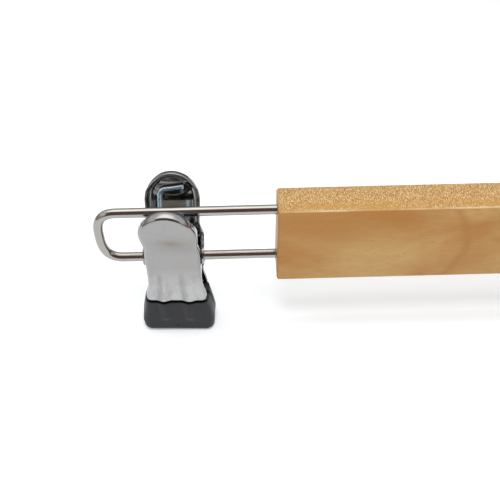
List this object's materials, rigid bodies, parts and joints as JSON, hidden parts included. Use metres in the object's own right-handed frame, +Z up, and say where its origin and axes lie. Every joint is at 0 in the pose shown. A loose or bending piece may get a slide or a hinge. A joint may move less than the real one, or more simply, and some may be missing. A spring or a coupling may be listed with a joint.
{
  "type": "clip hanger",
  "caption": "Wooden skirt and trouser hanger with a swivel hook, a wire loop in each end of the bar and a sprung, rubber-padded metal clip that slides on each loop.",
  "frame": {"origin": "the rail seat: the middle of the hook's inner surface at the top of its bowl", "axes": "+X along the bar towards the right clip, +Y from the front of the bar to its back, +Z up"},
  "size_m": [0.362, 0.0236, 0.1189],
  "materials": {
    "wood": "clear satin lacquer",
    "nickel_wire": "bright nickel plate",
    "chrome_sheet": "satin chrome plate",
    "zinc_spring": "blue zinc plate",
    "black_rubber": "moulded, semi-matt"
  },
  "bodies": {
    "hook": {"hook": "nickel_wire"},
    "bar": {"wooden_bar": "wood", "left_wire_loop": "nickel_wire", "right_wire_loop": "nickel_wire", "hook_ferrule": "chrome_sheet", "hook_washer": "nickel_wire"},
    "left_clip": {"left_spring": "zinc_spring"},
    "left_front_jaw": {"left_front_jaw": "chrome_sheet", "left_front_pad": "black_rubber"},
    "left_back_jaw": {"left_back_jaw": "chrome_sheet", "left_back_pad": "black_rubber"},
    "right_clip": {"right_spring": "zinc_spring"},
    "right_front_jaw": {"right_front_jaw": "chrome_sheet", "right_front_pad": "black_rubber"},
    "right_back_jaw": {"right_back_jaw": "chrome_sheet", "right_back_pad": "black_rubber"}
  },
  "joints": [
    {"name": "bar_swivel", "type": "hinge", "parent": "hook", "child": "bar", "pos_m": [0, 0, -0.0627], "axis": [0, 0, 1], "continuous": true},
    {"name": "left_clip_slide", "type": "slide", "parent": "bar", "child": "left_clip", "axis": [1, 0, 0], "range_m": [-0.008, 0.022]},
    {"name": "left_front_jaw_turn", "type": "hinge", "parent": "left_clip", "child": "left_front_jaw", "pos_m": [-0.15725, 0, -0.08438], "axis": [-1, 0, 0], "range_deg": [0, 15], "stiffness_Nm_per_rad": 0.03, "springref_deg": -17.19, "deforming": ["left_spring"]},
    {"name": "left_back_jaw_turn", "type": "hinge", "parent": "left_clip", "child": "left_back_jaw", "pos_m": [-0.15725, 0, -0.08438], "axis": [1, 0, 0], "range_deg": [0, 15], "stiffness_Nm_per_rad": 0.03, "springref_deg": -17.19, "deforming": ["left_spring"]},
    {"name": "right_clip_slide", "type": "slide", "parent": "bar", "child": "right_clip", "axis": [1, 0, 0], "range_m": [-0.022, 0.008]},
    {"name": "right_front_jaw_turn", "type": "hinge", "parent": "right_clip", "child": "right_front_jaw", "pos_m": [0.15725, 0, -0.08438], "axis": [-1, 0, 0], "range_deg": [0, 15], "stiffness_Nm_per_rad": 0.03, "springref_deg": -17.19, "deforming": ["right_spring"]},
    {"name": "right_back_jaw_turn", "type": "hinge", "parent": "right_clip", "child": "right_back_jaw", "pos_m": [0.15725, 0, -0.08438], "axis": [1, 0, 0], "range_deg": [0, 15], "stiffness_Nm_per_rad": 0.03, "springref_deg": -17.19, "deforming": ["right_spring"]}
  ],
  "couplings": [
    {"joint": "left_back_jaw_turn", "follows": "left_front_jaw_turn", "ratio": 1},
    {"joint": "right_back_jaw_turn", "follows": "right_front_jaw_turn", "ratio": 1}
  ]
}
